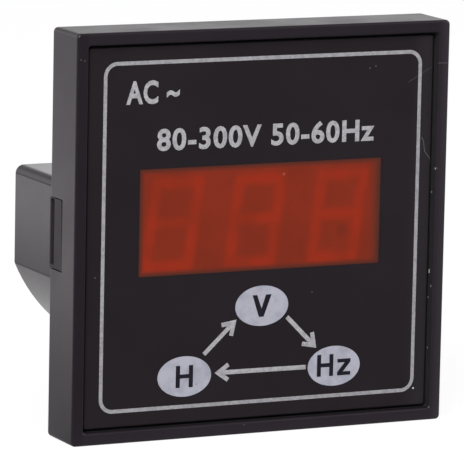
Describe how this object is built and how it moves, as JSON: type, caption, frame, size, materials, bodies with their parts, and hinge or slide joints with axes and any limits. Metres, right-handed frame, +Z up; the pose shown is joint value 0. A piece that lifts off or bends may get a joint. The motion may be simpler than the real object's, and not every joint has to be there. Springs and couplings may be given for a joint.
{
  "type": "digital panel meter",
  "caption": "Square black panel meter with a red digital display, oval mode lamps and a round-bottomed case for a round panel hole.",
  "frame": {"origin": "on the axis of the panel hole, in the plane of the frame that seats on the panel", "axes": "+Z up the face, +Y into the panel, +X to the right as the face is read"},
  "size_m": [0.045, 0.0377, 0.045],
  "materials": {
    "frame_black": "fine satin moulded ABS",
    "plate_black": "satin moulded plate",
    "case_black": "satin moulded ABS",
    "window_red": "matt red filter",
    "silver_ink": "screen print",
    "lens_pale": "frosted diffuser",
    "display_grey": "grey reflector block",
    "segment_resin": "milky epoxy",
    "led_white": "LED chip",
    "board_green": "solder mask on glass epoxy",
    "screw_steel": "zinc plated",
    "chip_black": "epoxy package",
    "can_steel": "drawn can",
    "header_black": "moulded strip",
    "pin_gold": "gold flash",
    "film_yellow": "moulded box",
    "sleeve_blue": "shrink sleeve",
    "varistor_blue": "dipped epoxy",
    "resistor_beige": "lacquer",
    "terminal_tin": "tin plated brass"
  },
  "bodies": {
    "root": {"board_screws": "screw_steel", "bridge_rectifier": "chip_black", "crystal": "can_steel", "digit_leds_1": "led_white", "digit_leds_2": "led_white", "digit_leds_3": "led_white", "digit_segments_1": "segment_resin", "digit_segments_2": "segment_resin", "digit_segments_3": "segment_resin", "display_block": "display_grey", "display_board": "board_green", "display_window": "window_red", "divider_resistors": "resistor_beige", "driver_transistors": "chip_black", "electrolytic_capacitor": "sleeve_blue", "face_plate": "plate_black", "film_capacitor": "film_yellow", "front_frame": "frame_black", "header_pins": "pin_gold", "header_strip": "header_black", "indicator_led_hertz": "led_white", "indicator_led_hours": "led_white", "indicator_led_volts": "led_white", "indicator_lens_hertz": "lens_pale", "indicator_lens_hours": "lens_pale", "indicator_lens_volts": "lens_pale", "main_board": "board_green", "memory_chip": "chip_black", "microcontroller": "chip_black", "printed_arrows": "silver_ink", "printed_border": "silver_ink", "rear_case": "case_black", "terminal_left": "terminal_tin", "terminal_right": "terminal_tin", "varistor": "varistor_blue"}
  },
  "joints": []
}
